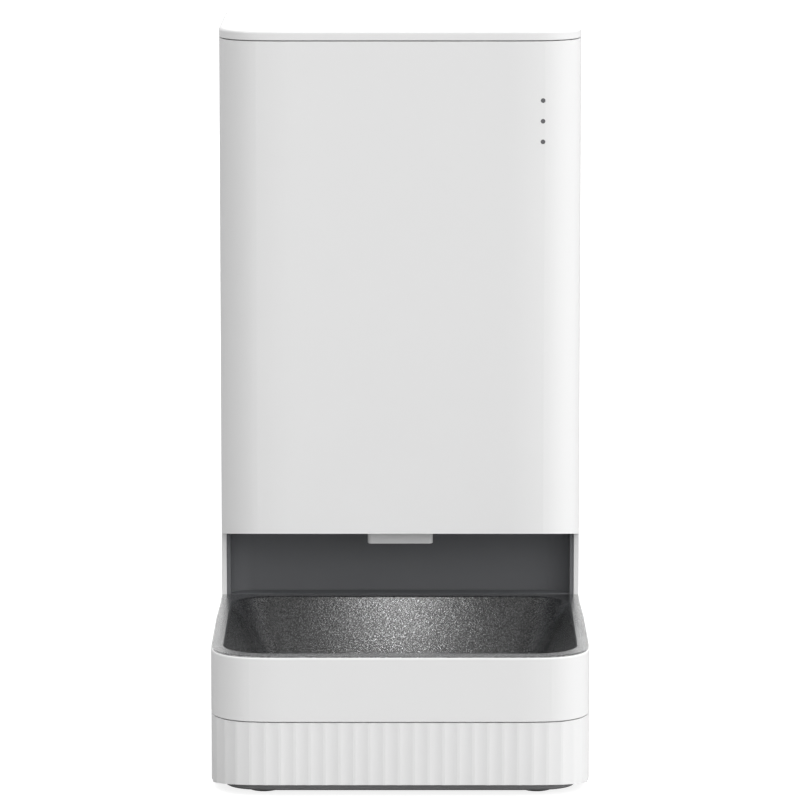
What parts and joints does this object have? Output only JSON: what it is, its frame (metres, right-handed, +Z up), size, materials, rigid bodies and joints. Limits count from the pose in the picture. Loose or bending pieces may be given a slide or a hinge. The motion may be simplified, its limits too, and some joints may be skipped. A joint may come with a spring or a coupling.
{
  "type": "smart pet feeder",
  "caption": "Tall white dry-food feeder with a lift-out food bin, metering rotor and gear motor, chin nozzle over a wide steel bowl, and a fluted base",
  "frame": {"origin": "on the floor under the middle of the bounding box", "axes": "+Z up, -Y is the front where the bowl is, +X is the side with the indicator dots"},
  "size_m": [0.195, 0.315, 0.38],
  "materials": {
    "white_plastic": "satin, fine grain",
    "dark_liner": "matte, fine grain",
    "underside_grey": "matte",
    "foot_rubber": "matte",
    "bowl_steel": "bead-blasted stainless",
    "inner_plastic": "matte",
    "bin_plastic": "smooth, slightly translucent",
    "silicone": "soft silicone",
    "gear_plastic": "natural acetal",
    "steel": "zinc plated",
    "bronze": "sintered",
    "motor_can": "plated can",
    "contact_metal": "nickel plated spring steel",
    "indicator_grey": "diffusing light guide",
    "circuit_board": "solder mask",
    "shield_metal": "tinned shield",
    "connector_nylon": "nylon",
    "black_plastic": "moulded",
    "wire_sleeve": "insulated",
    "sachet_paper": "breathable paper"
  },
  "bodies": {
    "housing": {"base_tray": "white_plastic", "bowl_surround": "white_plastic", "tower_shell": "white_plastic", "food_nozzle": "white_plastic", "recess_liner": "dark_liner", "bottom_plate": "underside_grey", "rubber_feet": "foot_rubber", "battery_case": "inner_plastic", "inner_frame": "inner_plastic", "food_chute": "inner_plastic", "metering_cup": "inner_plastic", "gear_plate": "inner_plastic", "bin_gasket": "silicone", "upper_bush": "bronze", "lower_bush": "bronze", "gear_motor": "motor_can", "plate_screws": "steel", "frame_screws": "steel", "cup_screws": "steel", "motor_screws": "steel", "gear_plate_screws": "steel", "board_screws": "steel", "battery_contacts": "contact_metal", "indicator_lenses": "indicator_grey", "indicator_board": "circuit_board", "main_board": "circuit_board", "radio_module": "shield_metal", "board_connectors": "connector_nylon", "button_switch": "black_plastic", "power_inlet": "black_plastic", "chute_sensors": "black_plastic", "motor_lead": "wire_sleeve", "inlet_lead": "wire_sleeve", "indicator_lead": "wire_sleeve"},
    "bowl": {"steel_bowl": "bowl_steel"},
    "bin": {"food_bin": "bin_plastic"},
    "lid": {"lid_cover": "white_plastic", "lid_pan": "white_plastic", "lid_seal": "silicone", "desiccant_cup": "white_plastic", "desiccant_sachet": "sachet_paper"},
    "drying_cover": {"desiccant_cover": "white_plastic"},
    "rotor": {"rotor_hub": "gear_plastic", "rotor_blades": "silicone", "agitator": "gear_plastic", "rotor_shaft": "steel", "drive_gear": "gear_plastic"},
    "pinion": {"motor_pinion": "gear_plastic"},
    "button": {"feed_button": "white_plastic"},
    "bay_door": {"battery_door": "underside_grey"}
  },
  "joints": [
    {"name": "bowl_lift", "type": "slide", "parent": "housing", "child": "bowl", "axis": [0, -0.4613, 0.8872], "range_m": [0, 0.032]},
    {"name": "bin_lift", "type": "slide", "parent": "housing", "child": "bin", "axis": [0, 0, 1], "range_m": [0, 0.2]},
    {"name": "lid_lift", "type": "slide", "parent": "bin", "child": "lid", "axis": [0, 0, 1], "range_m": [0, 0.06]},
    {"name": "drying_cover_twist", "type": "hinge", "parent": "lid", "child": "drying_cover", "pos_m": [0, 0.07565, 0.355], "axis": [0, 0, 1], "range_deg": [0, 30]},
    {"name": "rotor_spin", "type": "hinge", "parent": "housing", "child": "rotor", "pos_m": [0, 0.0805, 0.12], "axis": [0, 0, 1], "continuous": true},
    {"name": "pinion_spin", "type": "hinge", "parent": "housing", "child": "pinion", "pos_m": [0, 0.115, 0.12], "axis": [0, 0, 1], "continuous": true},
    {"name": "button_press", "type": "slide", "parent": "housing", "child": "button", "axis": [0, -1, 0], "range_m": [0, 0.0012], "stiffness_N_per_m": 1200},
    {"name": "bay_door_slide", "type": "slide", "parent": "housing", "child": "bay_door", "axis": [0, 1, 0], "range_m": [0, 0.096]}
  ],
  "couplings": [
    {"joint": "pinion_spin", "follows": "rotor_spin", "ratio": -2.2857}
  ]
}
